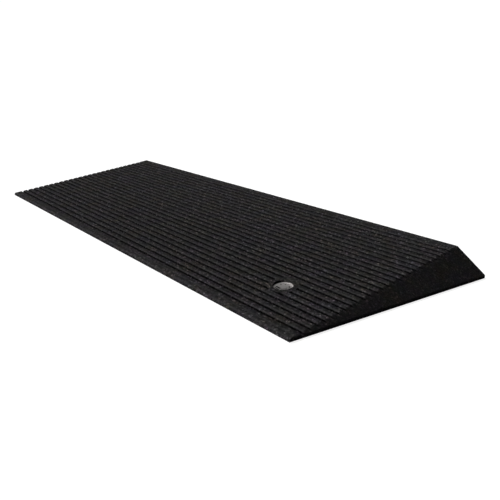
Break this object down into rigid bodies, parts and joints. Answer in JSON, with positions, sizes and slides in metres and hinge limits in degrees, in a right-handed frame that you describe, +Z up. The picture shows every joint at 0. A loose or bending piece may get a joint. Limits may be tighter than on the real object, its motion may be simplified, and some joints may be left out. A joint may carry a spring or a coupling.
{
  "type": "threshold ramp",
  "caption": "Low ribbed crumb-rubber threshold ramp with flared side bevels and a recessed round metal badge, for rolling a wheelchair over a raised door sill.",
  "frame": {"origin": "on the floor, under the middle of the overall footprint", "axes": "+X to the right across the ramp's width, +Y up the slope towards the door sill, +Z up"},
  "size_m": [1.0138, 0.3556, 0.038],
  "materials": {
    "crumb_rubber": "moulded crumb rubber, matt with a faint sheen",
    "badge_metal": "satin, with a low rim",
    "adhesive_pad": "matt"
  },
  "bodies": {
    "root": {"ramp_body": "crumb_rubber", "badge_disc": "badge_metal", "badge_adhesive_pad": "adhesive_pad"}
  },
  "joints": []
}
